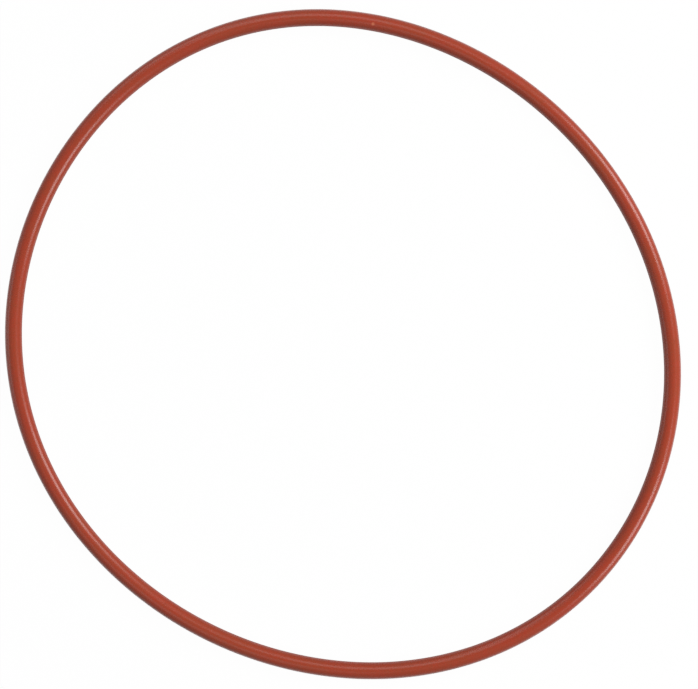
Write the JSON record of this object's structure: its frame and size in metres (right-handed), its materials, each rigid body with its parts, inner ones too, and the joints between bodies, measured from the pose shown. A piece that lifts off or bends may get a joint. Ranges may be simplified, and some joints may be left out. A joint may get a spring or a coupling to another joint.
{
  "type": "o-ring cylinder head gasket",
  "caption": "Thin brick-red silicone rubber ring with a round section, which seals the joint between a cylinder and its head.",
  "frame": {"origin": "middle of the ring's length and width, at half the height of its section", "axes": "+Z is the ring's axis, up from the surface it lies on; +X runs along its longer width, toward the sharper end of its slightly egg-shaped outline"},
  "size_m": [0.1066, 0.0992, 0.0024],
  "materials": {
    "silicone_rubber": "satin"
  },
  "bodies": {
    "root": {"o_ring": "silicone_rubber"}
  },
  "joints": []
}
